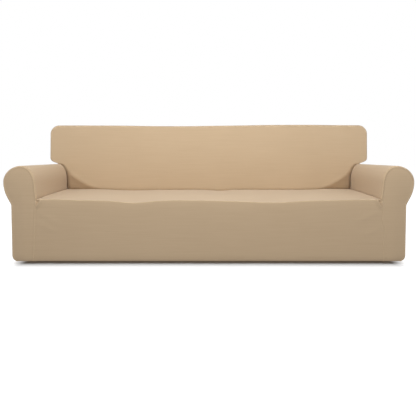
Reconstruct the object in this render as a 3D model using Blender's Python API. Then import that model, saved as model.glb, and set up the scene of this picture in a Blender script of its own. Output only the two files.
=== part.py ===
"""Fitted stretch cover for a wide sofa with rolled arms, sewn from seven knit panels.

Metres, +Z up, +X to the right as seen from the front, +Y to the back. The origin is under
the middle of the cover and the hem lies on z = 0. The cover is hollow and open below.
The panels are grids on one shared skin. Each is then given the thickness of the cloth
inwards, with its edges mitred against its neighbours and a hair apart from them.
"""

import math
from collections import namedtuple

import bmesh
import bpy
import numpy as np
from mathutils import Vector

# Cloth
CLOTH = 0.002  # thickness of the knit
HEM_CLOTH = 0.0035  # the turned hem is double
HEM_WIDTH = 0.022
SEAM_GAP = 0.0003  # between neighbouring panels

# Limits of the mitre between two panels
MOST_MITRE = 4.0  # a sharp seam offsets its inner edge by at most this many thicknesses
MOST_SHIFT = 0.0012  # and draws each panel back by at most this
FLAT_SHARE = 0.12  # faces that differ by less than this count as one plane
HEM_LEVEL = 1e-5  # points lower than this lie on the floor

# Overall sizes. Depths are measured from the foremost point of the arm fronts.
DEPTH = 0.940
TOP = 0.9595  # height of the top of the back, before its unevenness

# Seat and front
SEAT_HEIGHT = 0.4145
SEAT_EDGE_RADIUS = 0.012
SEAT_CROWN = 0.004
FRONT_SETBACK = 0.012  # front panel and arm seams lie this far behind the arm fronts
HEM_TURN = 0.012  # how far the elastic draws the hem in
HEM_RISE = 0.045  # height at which the hem starts to turn in
FRONT_HALF_AT_HEM = 1.181

# Arm outline at the front, as distance from the centre line and height
ARM_FOOT = (1.162, SEAT_HEIGHT)
ARM_INNER = (1.175, 0.520)
ARM_TOP = (1.270, 0.6435)
ARM_ROLL = (1.390, 0.535)
ARM_NECK = (1.332, 0.375)
ARM_SIDE = (1.323, HEM_RISE)
ARM_HEM = (1.293, 0.0)
ARM_FLARE = 0.028  # the inner face stands this much further out at its rear end
FOOT_FLARE = 0.017  # and its foot by this much more
ARM_DROP = 0.015  # the roll lies this much lower at its rear end
ARM_LIP = 0.010  # the outline draws in by this much at the front seam

# How far each curve of the arm outline runs on straight before it bends
SHOULDER_PULL = (0.004, 0.070)
TOP_PULL = 0.056
ROLL_PULL = 0.062
UNDER_PULL = 0.088
NECK_PULL = (0.007, 0.030)

# Back
BACK_FOOT = 0.620  # depth of the tuck between seat and back
BACK_LEAN = 0.085  # the front of the back leans away by this much over its height
BACK_SWELL = 0.012
BACK_HALF = 1.356
BACK_FLARE = 0.012  # the ears stand this much further out at their top
EAR_CORNER_HEIGHT = 0.080  # the lower corner of each ear rises this far above the arm
EAR_CORNER_SLOPE = 32.0  # degrees at which that corner leaves the arm
EAR_CORNER_PULL = 0.62  # roundness of that corner, as a share of its height
TOP_CORNER_RADIUS = 0.072
BACK_EDGE_RADIUS = 0.022  # rounding between the front of the back and its sides and top
REAR_SWELL = 0.010
REAR_EDGE = 0.015  # rounding of the sides and top into the rear seam
REAR_INSET = 0.007
SQUARE_SWELL = 6  # a high power keeps a swelling flat up to its edges
ARM_FRONT_SWELL = 4

# Hollow corners where the inside back falls away behind the arm and the seat
RECESS_WIDTH = 0.270
RECESS_HEIGHT = 0.157
RECESS_DEPTH = 0.060
RECESS_POWER = 0.82  # below 1, its upper edge is hollow towards the arm and the seat
RECESS_EDGE = 1.06  # it starts at this share of its width and height
RECESS_SOFT = 0.10  # softness of that start

# Unevenness of three edges: place along x, half width and rise of each fold
Fold = namedtuple("Fold", "at width rise")
FRONT_EDGE_FOLDS = (
    Fold(at=-1.08, width=0.16, rise=0.007),
    Fold(at=-0.51, width=0.13, rise=-0.016),
    Fold(at=0.22, width=0.22, rise=-0.005),
    Fold(at=0.46, width=0.18, rise=-0.013),
    Fold(at=1.03, width=0.18, rise=0.005),
)
REAR_EDGE_FOLDS = (
    Fold(at=-0.95, width=0.14, rise=0.005),
    Fold(at=-0.62, width=0.16, rise=-0.005),
    Fold(at=0.09, width=0.08, rise=-0.008),
    Fold(at=1.00, width=0.13, rise=0.006),
)
TOP_EDGE_FOLDS = (
    Fold(at=-0.25, width=0.45, rise=-0.007),
    Fold(at=0.75, width=0.55, rise=0.005),
)

# Faces along each stretch of the grids
MIDDLE_COLUMNS = 12
END_COLUMNS = 6
END_ZONE = RECESS_WIDTH  # width of the finer columns at each end
SKIRT_ROWS = 5  # between the hem's turn and the front edge
EDGE_ROWS = 3
SEAT_ROWS = 5
INNER_ROWS = 3
SHOULDER_ROWS = 5
ROLL_ROWS = 5
NECK_ROWS = 5
SIDE_ROWS = 4
HEM_HEIGHTS = (0.0, 0.020)
EAR_CORNER_STEPS = 4
EAR_SIDE_STEPS = 4
HALF_CORNER_STEPS = 2
TOP_DEPTH_STEPS = 3
ARM_FRONT_COLUMNS = 5

# Colour of the cloth, linear, and its finish
CLOTH_COLOUR = (0.50, 0.38, 0.25, 1.0)
CLOTH_ROUGHNESS = 0.9
CLOTH_METALLIC = 0.0
SHARP_ANGLE = 50.0  # degrees; edges past this are shaded sharp


# ---------------------------------------------------------------- curves


def smooth(share):
    """0 to 1 with level ends."""
    share = np.clip(share, 0.0, 1.0)
    return share * share * (3.0 - 2.0 * share)


def rise(x, folds):
    """Sum of bell-shaped folds at the places x."""
    return sum(f.rise * np.exp(-(((x - f.at) / f.width) ** 2)) for f in folds)


def bezier(start, start_pull, end_pull, end, steps):
    """Points along a cubic curve, the end left out."""
    t = np.arange(steps)[:, None] / steps
    points = [np.array(p) for p in (start, start_pull, end_pull, end)]
    weights = ((1 - t) ** 3, 3 * t * (1 - t) ** 2, 3 * t * t * (1 - t), t**3)
    return sum(weight * point for weight, point in zip(weights, points))


def line(start, end, steps):
    """Points along a straight run, the end left out."""
    t = np.arange(steps)[:, None] / steps
    return np.array(start) * (1 - t) + np.array(end) * t


def left_normals(points):
    """Unit normals to the left of a flat curve's direction of travel."""
    along = np.gradient(points, axis=0)
    normals = np.stack([-along[:, 1], along[:, 0]], axis=1)
    return normals / np.linalg.norm(normals, axis=1, keepdims=True)


def patch(bottom, top, left, right):
    """Grid [column, row] between four edge curves, each spaced as its own edge is."""
    across = (bottom[:, 0] - bottom[0, 0]) / (bottom[-1, 0] - bottom[0, 0])
    up = (left[:, 2] - left[0, 2]) / (left[-1, 2] - left[0, 2])
    u = across[:, None, None]
    v = up[None, :, None]
    ruled = (1 - v) * bottom[:, None] + v * top[:, None]
    sides = (1 - u) * left[None] + u * right[None]
    low = (1 - u) * bottom[0] + u * bottom[-1]
    high = (1 - u) * top[0] + u * top[-1]
    return ruled + sides - (1 - v) * low - v * high


# ---------------------------------------------------------------- surfaces


def hem_turn(z):
    """How far the elastic draws the cloth in at the height z."""
    return HEM_TURN * np.clip(1.0 - z / HEM_RISE, 0.0, 1.0) ** 3


def back_front(x, z):
    """Depth of the front of the back: it leans, swells and falls away in its lower corners."""
    up = (z - SEAT_HEIGHT) / (TOP - SEAT_HEIGHT)
    swell = (1.0 - (x / BACK_HALF) ** 2) * np.sin(math.pi * np.clip(up, 0.0, 1.0))
    arm_foot = ARM_FOOT[0] + ARM_FLARE + FOOT_FLARE
    aside = np.clip((arm_foot - np.abs(x)) / RECESS_WIDTH, 0.0, None)
    above = np.clip((z - SEAT_HEIGHT) / RECESS_HEIGHT, 0.0, None)
    corner = aside**RECESS_POWER + above**RECESS_POWER
    inward = (RECESS_EDGE - corner) / RECESS_EDGE
    recess = (inward + np.sqrt(inward**2 + RECESS_SOFT**2)) / 2.0
    return BACK_FOOT + BACK_LEAN * up - BACK_SWELL * swell + RECESS_DEPTH * recess


def seat_height(x, share):
    """Height of the seat at a share of the way from its front edge to the tuck."""
    front = SEAT_HEIGHT + rise(x, FRONT_EDGE_FOLDS)
    rear = SEAT_HEIGHT + rise(x, REAR_EDGE_FOLDS)
    crown = SEAT_CROWN * np.sin(math.pi * share)
    return front + (rear - front) * smooth(share) + crown


def arm_outline():
    """Outline of an arm from the tuck over the roll to the hem, as (out, height) rows."""
    inner = line(ARM_FOOT, ARM_INNER, INNER_ROWS)
    shoulder = bezier(
        ARM_INNER,
        (ARM_INNER[0] + SHOULDER_PULL[0], ARM_INNER[1] + SHOULDER_PULL[1]),
        (ARM_TOP[0] - TOP_PULL, ARM_TOP[1]),
        ARM_TOP,
        SHOULDER_ROWS,
    )
    roll = bezier(
        ARM_TOP,
        (ARM_TOP[0] + ROLL_PULL, ARM_TOP[1]),
        (ARM_ROLL[0], ARM_ROLL[1] + ROLL_PULL),
        ARM_ROLL,
        ROLL_ROWS,
    )
    neck = bezier(
        ARM_ROLL,
        (ARM_ROLL[0], ARM_ROLL[1] - UNDER_PULL),
        (ARM_NECK[0] + NECK_PULL[0], ARM_NECK[1] + NECK_PULL[1]),
        ARM_NECK,
        NECK_ROWS,
    )
    side = line(ARM_NECK, ARM_SIDE, SIDE_ROWS)
    out = ARM_HEM[0] - ARM_SIDE[0]
    heights = (HEM_RISE, *HEM_HEIGHTS[::-1])
    hem = [(ARM_SIDE[0] + out * hem_turn(z) / HEM_TURN, z) for z in heights]
    return np.concatenate([inner, shoulder, roll, neck, side, hem])


ARM_TOP_ROW = INNER_ROWS + SHOULDER_ROWS
FRONT_STEPS = EDGE_ROWS + SEAT_ROWS


def edge_angles():
    """Angles of the quarter round at the seat's front edge, from the front panel back."""
    return np.linspace(0.0, math.pi / 2, EDGE_ROWS + 1)


def seat_shares():
    """Share of the seat's depth at each row behind the front edge's rounding."""
    return np.linspace(0.0, 1.0, SEAT_ROWS + 1)


def seat_rows(x, end):
    """Depth and height of the seat's rows at places x whose tuck lies at the depth end."""
    rows = []
    front = seat_height(x, 0.0)
    for angle in edge_angles()[:-1]:
        depth = FRONT_SETBACK + SEAT_EDGE_RADIUS * (1.0 - math.cos(angle)) + 0.0 * x
        rows.append((depth, front - SEAT_EDGE_RADIUS * (1.0 - math.sin(angle))))
    start = FRONT_SETBACK + SEAT_EDGE_RADIUS
    for share in seat_shares():
        rows.append((start + (end - start) * share, seat_height(x, share)))
    return rows


def band_depths(face):
    """Depths across the top and ears of the back, from its front face to the rear seam."""
    angles = np.linspace(0.0, math.pi / 2, EDGE_ROWS + 1)[:, None]
    rounding = face + BACK_EDGE_RADIUS * (1.0 - np.cos(angles))
    rear = DEPTH - REAR_SWELL
    share = np.arange(1, TOP_DEPTH_STEPS + 1)[:, None] / TOP_DEPTH_STEPS
    level = rounding[-1] + (rear - REAR_EDGE - rounding[-1]) * share
    return np.concatenate([rounding, level, np.full_like(level[:1], rear)])


def arm_section(side, share, inset, foot_rise=0.0):
    """Section of an arm at a share of the way back, drawn in by inset, as x and z arrays.

    Towards the back its inner face stands further out and its roll lies lower. Its foot
    follows the seat, or lies foot_rise above it.
    """
    outline = arm_outline()
    normals = left_normals(outline)
    normals[-1] = (1.0, 0.0)
    out, height = outline.T
    flare = np.clip((ARM_TOP[0] - out) / (ARM_TOP[0] - ARM_FOOT[0]), 0.0, 1.0)
    flare[ARM_TOP_ROW:] = 0.0
    raised = np.clip((height - SEAT_HEIGHT) / (ARM_TOP[1] - SEAT_HEIGHT), 0.0, 1.0)
    foot = np.clip(1.0 - np.arange(len(out)) / INNER_ROWS, 0.0, 1.0)
    flare = ARM_FLARE * flare + FOOT_FLARE * foot
    x = side * (out + flare * share - inset * normals[:, 0])
    z = height - ARM_DROP * raised * share - inset * normals[:, 1]
    z[-1] = 0.0
    return x, z + (seat_height(x[0], share) + foot_rise - z[0]) * foot


def arm_grids(side):
    """Inner and outer grids [station, row] of one arm panel, side -1 left or 1 right.

    The inner face ends on the front of the back, and the rest runs on to the rear seam.
    """
    stations = []
    for row, angle in enumerate(edge_angles()[:-1]):
        fall = SEAT_EDGE_RADIUS * (1.0 - math.sin(angle))
        x, z = arm_section(side, 0.0, ARM_LIP * math.cos(angle), -fall)
        depth = FRONT_SETBACK + SEAT_EDGE_RADIUS * (1.0 - math.cos(angle))
        stations.append((x, depth + hem_turn(z) * (1.0 - row / EDGE_ROWS), z))
    start = FRONT_SETBACK + SEAT_EDGE_RADIUS
    end = back_front(*arm_section(side, 1.0, 0.0))
    end[ARM_TOP_ROW:] = end[ARM_TOP_ROW]
    for share in seat_shares():
        x, z = arm_section(side, share, 0.0)
        stations.append((x, start + (end - start) * share, z))
    depths = band_depths(end[ARM_TOP_ROW])[1:, 0]
    for depth in depths[:-1]:
        stations.append((x, np.full_like(x, depth), z))
    drawn = smooth((np.arange(len(x)) - ARM_TOP_ROW) / EAR_CORNER_STEPS)
    x, z = arm_section(side, 1.0, REAR_INSET * drawn)
    stations.append((x, depths[-1] - hem_turn(z), z))
    grid = np.array([np.stack(station, axis=1) for station in stations])
    return grid[: FRONT_STEPS + 1, : ARM_TOP_ROW + 1], grid[:, ARM_TOP_ROW:]


def columns():
    """Column places from -1 to 1, finer at both ends."""
    half = ARM_FOOT[0] + ARM_FLARE + FOOT_FLARE
    inner = (half - END_ZONE) / half
    middle = np.linspace(-inner, inner, MIDDLE_COLUMNS + 1)
    end = np.linspace(inner, 1.0, END_COLUMNS + 1)[1:]
    return np.concatenate([-end[::-1], middle, end])


def seat_grid(arm_feet):
    """Grid [column, row] of the seat and front panel, between the feet of both arms."""
    left, right = arm_feet
    u = columns()
    feet = np.where((u < 0)[:, None], -left[:, 0], right[:, 0])
    front_x = u * feet[:, 0]
    front_z = seat_height(front_x, 0.0) - SEAT_EDGE_RADIUS
    heights = [np.full_like(u, z) for z in HEM_HEIGHTS]
    for share in np.arange(SKIRT_ROWS) / SKIRT_ROWS:
        heights.append(HEM_RISE + (front_z - HEM_RISE) * share)
    rows = []
    for z in heights:
        half = FRONT_HALF_AT_HEM + (feet[:, 0] - FRONT_HALF_AT_HEM) * z / front_z
        rows.append((u * half, FRONT_SETBACK + hem_turn(z), z))
    rear_x = u * feet[:, -1]
    end = back_front(rear_x, seat_height(rear_x, 1.0))
    for row in range(FRONT_STEPS + 1):
        x = u * feet[:, row]
        rows.append((x, *seat_rows(x, end)[row]))
    return np.stack([np.stack(row, axis=1) for row in rows], axis=1)


def back_outline():
    """Outline of the back above the arms, from the left ear over the top to the right ear."""
    start = np.array((ARM_TOP[0], ARM_TOP[1] - ARM_DROP))
    ear = np.array((BACK_HALF, start[1] + EAR_CORNER_HEIGHT))
    slope = math.radians(EAR_CORNER_SLOPE)
    pull = EAR_CORNER_PULL * EAR_CORNER_HEIGHT
    corner = bezier(
        start,
        start + pull * np.array((math.cos(slope), math.sin(slope))),
        ear - (0.0, pull),
        ear,
        EAR_CORNER_STEPS,
    )
    centre = (BACK_HALF + BACK_FLARE - TOP_CORNER_RADIUS, TOP - TOP_CORNER_RADIUS)
    side = line(ear, (BACK_HALF + BACK_FLARE, centre[1]), EAR_SIDE_STEPS)
    angle = np.linspace(0.0, math.pi / 2, 2 * HALF_CORNER_STEPS + 1)[:-1]
    turn = np.stack([centre[0] + TOP_CORNER_RADIUS * np.cos(angle),
                     centre[1] + TOP_CORNER_RADIUS * np.sin(angle)], axis=1)
    right = np.concatenate([corner, side, turn])
    steps = len(columns()) - 1 - 2 * HALF_CORNER_STEPS
    x = columns()[HALF_CORNER_STEPS : HALF_CORNER_STEPS + steps + 1]
    x = x / x[-1] * centre[0]
    top = np.stack([x, np.full_like(x, TOP)], axis=1)
    left = right * (-1.0, 1.0)
    outline = np.concatenate([left, top, right[::-1]])
    lift = smooth((outline[:, 1] - TOP + TOP_CORNER_RADIUS) / TOP_CORNER_RADIUS)
    outline[:, 1] += rise(outline[:, 0], TOP_EDGE_FOLDS) * lift
    return outline


def band_grid():
    """Grid [place, row] of the back's ears and top, from the face's edge to the rear seam."""
    outline = back_outline()
    normals = left_normals(outline)
    steps = np.arange(len(outline))
    from_end = np.minimum(steps, len(outline) - 1 - steps)
    weight = smooth(from_end / EAR_CORNER_STEPS)[:, None]
    face_edge = outline - weight * BACK_EDGE_RADIUS * normals
    depths = band_depths(back_front(face_edge[:, 0], face_edge[:, 1]))
    rows = []
    for row, depth in enumerate(depths):
        if row <= EDGE_ROWS:
            angle = edge_angles()[row]
            inset = BACK_EDGE_RADIUS * (1.0 - math.sin(angle))
        else:
            inset = REAR_INSET if row == len(depths) - 1 else 0.0
        place = outline - weight * inset * normals
        rows.append(np.stack([place[:, 0], depth, place[:, 1]], axis=1))
    return np.stack(rows, axis=1)


def split_loop(edge, rows):
    """Left, top and right runs of an edge that climbs, crosses and comes down again."""
    return edge[: rows + 1], edge[rows : len(edge) - rows], edge[::-1][: rows + 1]


EAR_ROWS = EAR_CORNER_STEPS + EAR_SIDE_STEPS + HALF_CORNER_STEPS


def face_grid(tuck, arm_ends, band_edge):
    """Grid [column, row] of the front of the back, down to the tuck and out to the arms."""
    left, top, right = split_loop(band_edge, EAR_ROWS)
    left = np.concatenate([arm_ends[0][:-1], left])
    right = np.concatenate([arm_ends[1][:-1], right])
    grid = patch(tuck, top, left, right)
    inside = grid[1:-1, 1:-1]
    inside[..., 1] = back_front(inside[..., 0], inside[..., 2])
    return grid


def swelling(shape, power):
    """1 in the middle of a grid and 0 at its two sides and its top."""
    across = 1.0 - np.abs(np.linspace(-1.0, 1.0, shape[0])) ** power
    up = 1.0 - np.linspace(0.0, 1.0, shape[1]) ** SQUARE_SWELL
    return across[:, None] * up


def rear_grid(arm_rears, band_edge):
    """Grid [column, row] of the outside back."""
    left, top, right = split_loop(band_edge, EAR_ROWS)
    left = np.concatenate([arm_rears[0][::-1][:-1], left])
    right = np.concatenate([arm_rears[1][::-1][:-1], right])
    u = (columns() + 1.0)[:, None] / 2.0
    bottom = left[0] * (1.0 - u) + right[0] * u
    grid = patch(bottom, top, left, right)
    grid[..., 1] += REAR_SWELL * swelling(grid.shape, SQUARE_SWELL)
    return grid


def arm_front_grid(skirt_edge, arm_edge):
    """Grid [column, row] of the front of one arm, its edges on the panels round it."""
    rows_over = len(arm_edge) - 1
    climb = (rows_over - ARM_FRONT_COLUMNS + len(skirt_edge) - 1) // 2
    inner_rows = climb - (len(skirt_edge) - 1)
    inner = np.concatenate([skirt_edge[:-1], arm_edge[: inner_rows + 1]])
    top = arm_edge[inner_rows : inner_rows + ARM_FRONT_COLUMNS + 1]
    outer = arm_edge[::-1][: climb + 1]
    u = np.linspace(0.0, 1.0, ARM_FRONT_COLUMNS + 1)[:, None]
    bottom = inner[0] * (1.0 - u) + outer[0] * u
    grid = patch(bottom, top, inner, outer)
    grid[..., 1] -= FRONT_SETBACK * swelling(grid.shape, ARM_FRONT_SWELL)
    return grid


def panel_grids():
    """Every panel's grids, turned so that columns cross rows with the outside facing out."""
    arms = {side: arm_grids(side) for side in (-1, 1)}
    seat = seat_grid([arms[side][0][:, 0] for side in (-1, 1)])
    corner = SKIRT_ROWS + len(HEM_HEIGHTS)
    band = band_grid()
    face = face_grid(seat[:, -1], [arms[side][0][-1] for side in (-1, 1)], band[:, 0])
    rear = rear_grid([arms[side][1][-1] for side in (-1, 1)], band[:, -1])
    grids = {
        "seat_and_front": [seat],
        "inside_back": [face, band],
        "outside_back": [rear[::-1]],
    }
    for side, word, column in ((-1, "left", 0), (1, "right", -1)):
        inner, outer = arms[side]
        arm_edge = np.concatenate([inner[0], outer[0][1:]])
        front = arm_front_grid(seat[column, : corner + 1], arm_edge)
        turned = [grid.transpose(1, 0, 2)[::side] for grid in (inner, outer)]
        grids["arm_" + word] = turned
        grids["arm_front_" + word] = [front[::side]]
    return grids


# ---------------------------------------------------------------- solids


def welded_skin(grids):
    """One mesh of all the grids, with each face's panel number in a layer."""
    skin = bmesh.new()
    number = skin.faces.layers.int.new("panel")
    for panel, name in enumerate(grids):
        for grid in grids[name]:
            points = grid - (0.0, DEPTH / 2.0, 0.0)
            verts = [[skin.verts.new(point) for point in column] for column in points]
            for i in range(len(verts) - 1):
                for j in range(len(verts[i]) - 1):
                    corners = (verts[i][j], verts[i + 1][j], verts[i + 1][j + 1], verts[i][j + 1])
                    skin.faces.new(corners)[number] = panel
    bmesh.ops.remove_doubles(skin, verts=skin.verts, dist=1e-5)
    skin.normal_update()
    skin.verts.index_update()
    return skin, number


def inner_offset(vert):
    """From a point of the skin to the inside of the cloth, a thickness from each face there."""
    thickness = HEM_CLOTH if vert.co.z < HEM_WIDTH else CLOTH
    normals = np.array([face.normal for face in vert.link_faces])
    if vert.co.z < HEM_LEVEL:
        normals[:, 2] = 0.0
    depth = np.full(len(normals), -thickness)
    offset = np.linalg.lstsq(normals, depth, rcond=FLAT_SHARE)[0]
    return offset * min(1.0, MOST_MITRE * thickness / np.linalg.norm(offset))


def seam_shift(vert, number, panel, offset):
    """Step by which a panel's edge point draws back, in its own plane, from each seam there."""
    normal = sum(np.array(face.normal) for face in vert.link_faces if face[number] == panel)
    planes, room = [normal / np.linalg.norm(normal)], [0.0]
    for edge in vert.link_edges:
        own = [face for face in edge.link_faces if face[number] == panel]
        if len(own) != 1 or len(edge.link_faces) != 2:
            continue
        along = np.array(edge.other_vert(vert).co - vert.co)
        rim = np.cross(along, offset)
        if rim @ np.array(own[0].calc_center_median() - vert.co) < 0.0:
            rim = -rim
        planes.append(rim / np.linalg.norm(rim))
        room.append(SEAM_GAP / 2.0)
    if len(planes) == 1:
        return np.zeros(3)
    shift = np.linalg.lstsq(np.array(planes), np.array(room), rcond=FLAT_SHARE)[0]
    return shift * min(1.0, MOST_SHIFT / np.linalg.norm(shift))


def panel_solid(skin, number, panel):
    """Closed thick mesh of one panel of the skin."""
    faces = [face for face in skin.faces if face[number] == panel]
    solid = bmesh.new()
    outside, inside = {}, {}
    for vert in skin.verts:
        if all(face[number] != panel for face in vert.link_faces):
            continue
        offset = inner_offset(vert)
        place = np.array(vert.co) + seam_shift(vert, number, panel, offset)
        if vert.co.z < HEM_LEVEL:
            place[2] = 0.0
        outside[vert] = solid.verts.new(place)
        inside[vert] = solid.verts.new(place + offset)
    for face in faces:
        solid.faces.new([outside[vert] for vert in face.verts])
        solid.faces.new([inside[vert] for vert in reversed(face.verts)])
        for loop in face.loops:
            if sum(other[number] == panel for other in loop.edge.link_faces) == 1:
                first, last = loop.vert, loop.link_loop_next.vert
                rim = [outside[last], outside[first], inside[first], inside[last]]
                add_rim(solid, rim, first.index < last.index)
    return solid


def add_rim(solid, rim, first_is_lower):
    """Two triangles across the cloth's edge, cut the same way on both sides of a seam."""
    last_out, first_out, first_in, last_in = rim
    if first_is_lower:
        solid.faces.new((last_out, first_out, last_in))
        solid.faces.new((first_out, first_in, last_in))
    else:
        solid.faces.new((last_out, first_out, first_in))
        solid.faces.new((last_out, first_in, last_in))


def cloth_material(name):
    """Matt beige stretch knit."""
    material = bpy.data.materials.new(name)
    material.use_nodes = True
    shader = material.node_tree.nodes["Principled BSDF"]
    shader.inputs["Base Color"].default_value = CLOTH_COLOUR
    shader.inputs["Roughness"].default_value = CLOTH_ROUGHNESS
    shader.inputs["Metallic"].default_value = CLOTH_METALLIC
    material.diffuse_color = CLOTH_COLOUR
    return material


def main():
    for obj in list(bpy.data.objects):
        bpy.data.objects.remove(obj, do_unlink=True)
    cover = bpy.data.objects.new("slipcover", None)
    bpy.context.scene.collection.objects.link(cover)
    grids = panel_grids()
    skin, number = welded_skin(grids)
    for panel, name in enumerate(grids):
        solid = panel_solid(skin, number, panel)
        middle = sum((vert.co for vert in solid.verts), Vector()) / len(solid.verts)
        bmesh.ops.translate(solid, verts=solid.verts, vec=-middle)
        mesh = bpy.data.meshes.new(name)
        solid.to_mesh(mesh)
        solid.free()
        mesh.shade_smooth()
        mesh.set_sharp_from_angle(angle=math.radians(SHARP_ANGLE))
        mesh.materials.append(cloth_material(name + "_knit"))
        obj = bpy.data.objects.new(name, mesh)
        obj.parent = cover
        obj.location = middle
        bpy.context.scene.collection.objects.link(obj)
    skin.free()


main()
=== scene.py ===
"""Looks of a fitted stretch slipcover: each panel a thin knit sheet with seams, creases and hem.

Metres, +Z up, +X to the right as seen from the front, +Y to the back, the hem on z = 0.
Depths named s run back from the foremost point of the arm fronts, so y = s - DEPTH / 2.
"""

import math
import bpy
import numpy as np
from bpy.props import FloatProperty, FloatVectorProperty, PointerProperty, StringProperty
from collections import namedtuple
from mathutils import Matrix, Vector


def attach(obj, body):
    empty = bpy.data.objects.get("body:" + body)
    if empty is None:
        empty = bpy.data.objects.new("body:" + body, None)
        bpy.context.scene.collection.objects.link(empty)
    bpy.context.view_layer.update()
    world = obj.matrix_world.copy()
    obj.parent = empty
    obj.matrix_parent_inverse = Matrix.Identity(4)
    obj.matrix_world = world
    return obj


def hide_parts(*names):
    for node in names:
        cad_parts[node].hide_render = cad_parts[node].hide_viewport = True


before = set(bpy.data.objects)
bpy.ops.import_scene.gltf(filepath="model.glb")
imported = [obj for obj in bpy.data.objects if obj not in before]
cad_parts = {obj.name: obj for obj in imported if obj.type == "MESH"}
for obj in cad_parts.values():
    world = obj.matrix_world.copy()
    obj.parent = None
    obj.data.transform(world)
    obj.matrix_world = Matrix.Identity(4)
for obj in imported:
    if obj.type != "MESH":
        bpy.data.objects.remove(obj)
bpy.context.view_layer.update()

bl_info = {
    "name": "Stretch slipcover",
    "version": (1, 0, 0),
    "blender": (4, 5, 0),
    "location": "View3D > Sidebar > Slipcover",
    "description": "Sews the panels of a fitted sofa cover and sets up a plain studio",
    "category": "Object",
}

# ------------------------------------------------------------------ sizes of the cover

DEPTH = 0.940
TOP = 0.9595
SEAT_HEIGHT = 0.4145
SEAT_EDGE_RADIUS = 0.008
SEAT_CROWN = 0.004
FRONT_SETBACK = 0.012
HEM_TURN = 0.007
HEM_RISE = 0.045
FRONT_HALF_AT_HEM = 1.181

ARM_FOOT = (1.162, SEAT_HEIGHT)
ARM_INNER = (1.175, 0.520)
ARM_TOP = (1.270, 0.6435)
ARM_ROLL = (1.390, 0.535)
ARM_NECK = (1.336, 0.375)
ARM_SIDE = (1.329, HEM_RISE)
ARM_HEM = (1.301, 0.0)
ARM_FLARE = 0.028
FOOT_FLARE = 0.017
ARM_DROP = 0.015
ARM_LIP = 0.006
SHOULDER_PULL = (0.004, 0.070)
TOP_PULL = 0.056
ROLL_PULL = 0.062
UNDER_PULL = 0.088
NECK_PULL = (0.007, 0.030)

BACK_FOOT = 0.620
BACK_LEAN = 0.085
BACK_SWELL = 0.012
BACK_HALF = 1.356
BACK_FLARE = 0.012  # the ears stand this much further out at their top
EAR_CORNER_HEIGHT = 0.060
EAR_CORNER_SLOPE = 20.0
EAR_CORNER_PULL = 0.80
EAR_CORNER_RUN = 0.14
TOP_CORNER_RADIUS = 0.072
BACK_EDGE_RADIUS = 0.022
REAR_SWELL = 0.010
REAR_EDGE = 0.015
REAR_INSET = 0.007
SQUARE_SWELL = 6
ARM_FRONT_SWELL = 2
ARM_FRONT_CROWN = 0.006

RECESS_WIDTH = 0.270
RECESS_HEIGHT = 0.157
RECESS_DEPTH = 0.060
RECESS_POWER = 0.82
RECESS_EDGE = 1.06
RECESS_SOFT = 0.10
RECESS_RIM = 0.005  # the cloth stands this much proud along the upper edge of the hollow
RECESS_RIM_WIDTH = 0.16
RECESS_RIM_START = 0.2  # share of the hollow's size over which the rim fades in at its ends

Fold = namedtuple("Fold", "at width rise")
FRONT_EDGE_FOLDS = (
    Fold(at=-1.08, width=0.16, rise=0.007),
    Fold(at=-0.51, width=0.13, rise=-0.016),
    Fold(at=0.22, width=0.22, rise=-0.005),
    Fold(at=0.46, width=0.18, rise=-0.013),
    Fold(at=1.03, width=0.18, rise=0.005),
)
REAR_EDGE_FOLDS = (
    Fold(at=-0.95, width=0.14, rise=0.005),
    Fold(at=-0.62, width=0.16, rise=-0.005),
    Fold(at=0.09, width=0.08, rise=-0.008),
    Fold(at=1.00, width=0.13, rise=0.006),
)
TOP_EDGE_FOLDS = (
    Fold(at=-0.25, width=0.45, rise=-0.007),
    Fold(at=0.75, width=0.55, rise=0.005),
)

# Creases: from and to as (x, s, z), half width and height of each soft ridge, or trough if below 0
Crease = namedtuple("Crease", "start end width height")
CREASES = (
    Crease((-1.127, 0.010, 0.424), (-1.160, 0.012, 0.362), 0.008, 0.0095),
    Crease((-1.147, 0.012, 0.416), (-1.163, 0.014, 0.386), 0.009, -0.0120),
    Crease((1.127, 0.010, 0.424), (1.160, 0.012, 0.362), 0.008, 0.0095),
    Crease((1.147, 0.012, 0.416), (1.163, 0.014, 0.386), 0.009, -0.0120),
    Crease((-1.160, 0.012, 0.330), (-1.000, 0.012, 0.250), 0.020, 0.0016),
    Crease((-1.165, 0.012, 0.260), (-1.020, 0.012, 0.200), 0.018, 0.0014),
    Crease((1.160, 0.012, 0.340), (0.990, 0.012, 0.262), 0.020, 0.0016),
    Crease((1.165, 0.012, 0.230), (1.040, 0.012, 0.170), 0.018, 0.0013),
)

# The front panel leans back towards the seat's front edge over this height, by this much
EDGE_DIP = 0.0030
DIP_HEIGHT = 0.060
DIP_REACH = 0.200  # and the seat rises to its full height again within this depth
DIP_TOP = 0.03  # nothing higher than this above the seat takes part

# How each seam sinks in between two panels: its depth and half width
Groove = namedtuple("Groove", "depth width")
GROOVES = {
    ("arm", "inside_back"): Groove(0.026, 0.008),
    ("inside_back", "seat_and_front"): Groove(0.007, 0.005),
    ("arm", "seat_and_front"): Groove(0.003, 0.004),
    ("arm", "arm_front"): Groove(0.0015, 0.003),
    ("arm_front", "seat_and_front"): Groove(0.0012, 0.003),
    ("inside_back", "outside_back"): Groove(0.0022, 0.0035),
    ("arm", "outside_back"): Groove(0.0022, 0.0035),
}

# Unevenness of the cloth: heights, lengths of the ripples, and reaches beside a seam
SEAM_LIFT = 0.0003
SEAM_LIFT_PLACE = 0.011
SEAM_LIFT_WIDTH = 0.006
PUCKER_NEAR = 0.006
PUCKER_FAR = 0.022
PUCKER_LENGTH = 0.034
PUCKER_SEED = 3
SOFT_HEIGHT = 0.0007
SOFT_LENGTH = 0.37
SOFT_START = 0.05
SOFT_SEED = 5

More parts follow.
